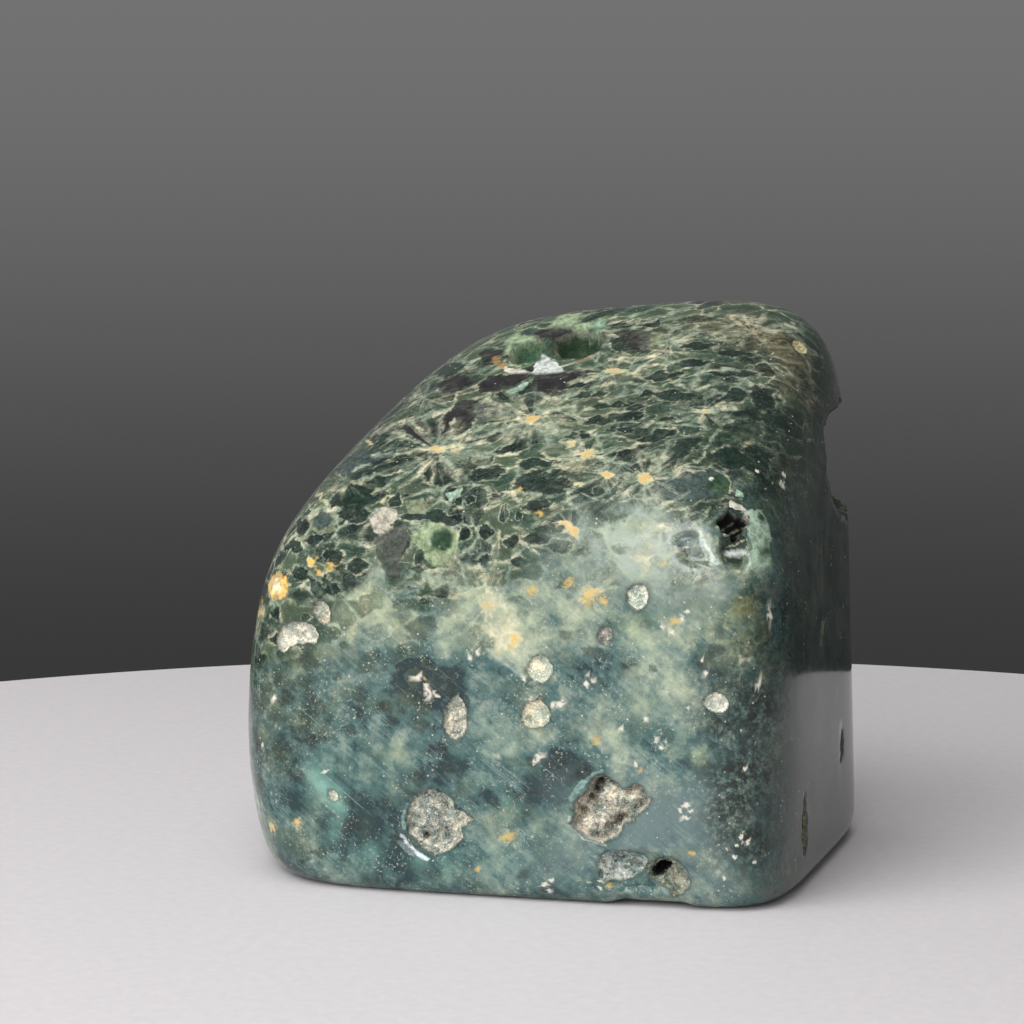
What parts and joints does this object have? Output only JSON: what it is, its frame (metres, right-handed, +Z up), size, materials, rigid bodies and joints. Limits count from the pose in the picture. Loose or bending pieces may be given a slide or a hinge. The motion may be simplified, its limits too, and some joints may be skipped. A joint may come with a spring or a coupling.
{
  "type": "polished ocean jasper stone",
  "caption": "Polished freeform of dark green ocean jasper with open vugs, ground to broad rounded facets and standing on a flat foot.",
  "frame": {"origin": "middle of the flat foot, at the bottom centre of the bounding box", "axes": "+Z up, -Y out of the broad front face, +X to the right across the front face"},
  "size_m": [0.0799, 0.0507, 0.0715],
  "materials": {
    "polished_jasper": "hand polished stone, glossy, with open rough vugs",
    "vug_crust": "rough granular crust and small quartz crystals in the vugs"
  },
  "bodies": {
    "root": {"stone": "polished_jasper"}
  },
  "joints": []
}
